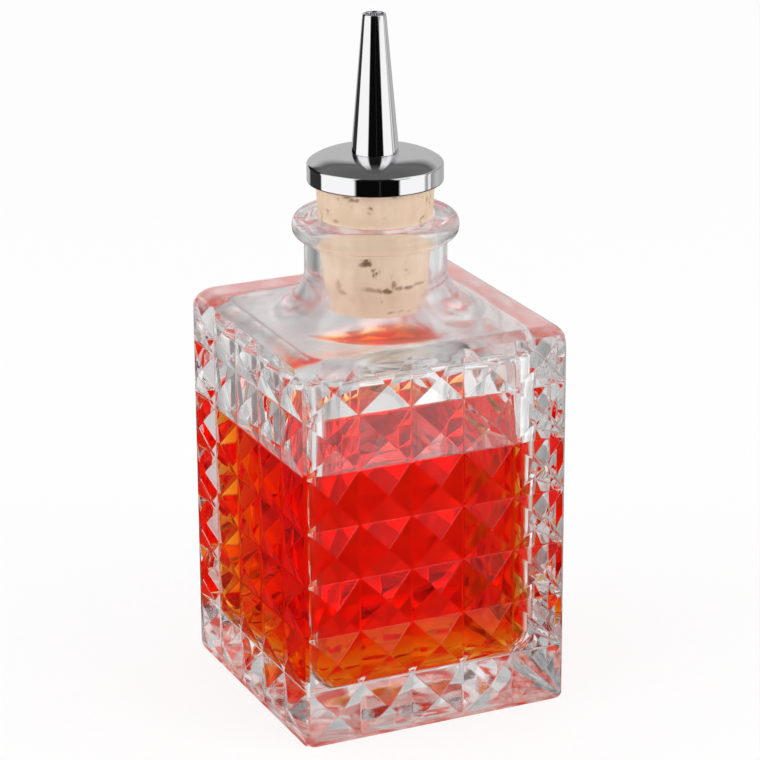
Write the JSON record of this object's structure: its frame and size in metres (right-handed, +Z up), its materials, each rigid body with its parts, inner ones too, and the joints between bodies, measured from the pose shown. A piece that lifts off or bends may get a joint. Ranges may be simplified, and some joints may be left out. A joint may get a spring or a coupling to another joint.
{
  "type": "bitters bottle",
  "caption": "Square clear glass bitters bottle with studded walls, a round lipped neck, a tapered cork stopper and a chrome conical dash spout.",
  "frame": {"origin": "middle of the base, on the plane that the bottle stands on", "axes": "+Z up along the neck and spout; the studded walls face -X, +X, -Y and +Y"},
  "size_m": [0.0624, 0.0624, 0.1455],
  "materials": {
    "clear_glass": "clear, pressed, polished",
    "bitters": "clear red-orange liquid",
    "natural_cork": "natural cork, matt",
    "chrome_disc": "mirror",
    "chrome_spout": "mirror",
    "tube_steel": "drawn steel"
  },
  "bodies": {
    "bottle": {"glass_bottle": "clear_glass", "bitters_fill": "bitters"},
    "stopper": {"cork_stopper": "natural_cork", "cap_disc": "chrome_disc", "dash_spout": "chrome_spout", "feed_tube": "tube_steel"}
  },
  "joints": [
    {"name": "stopper_lift", "type": "slide", "parent": "bottle", "child": "stopper", "axis": [0, 0, 1], "range_m": [0, 0.03]}
  ]
}
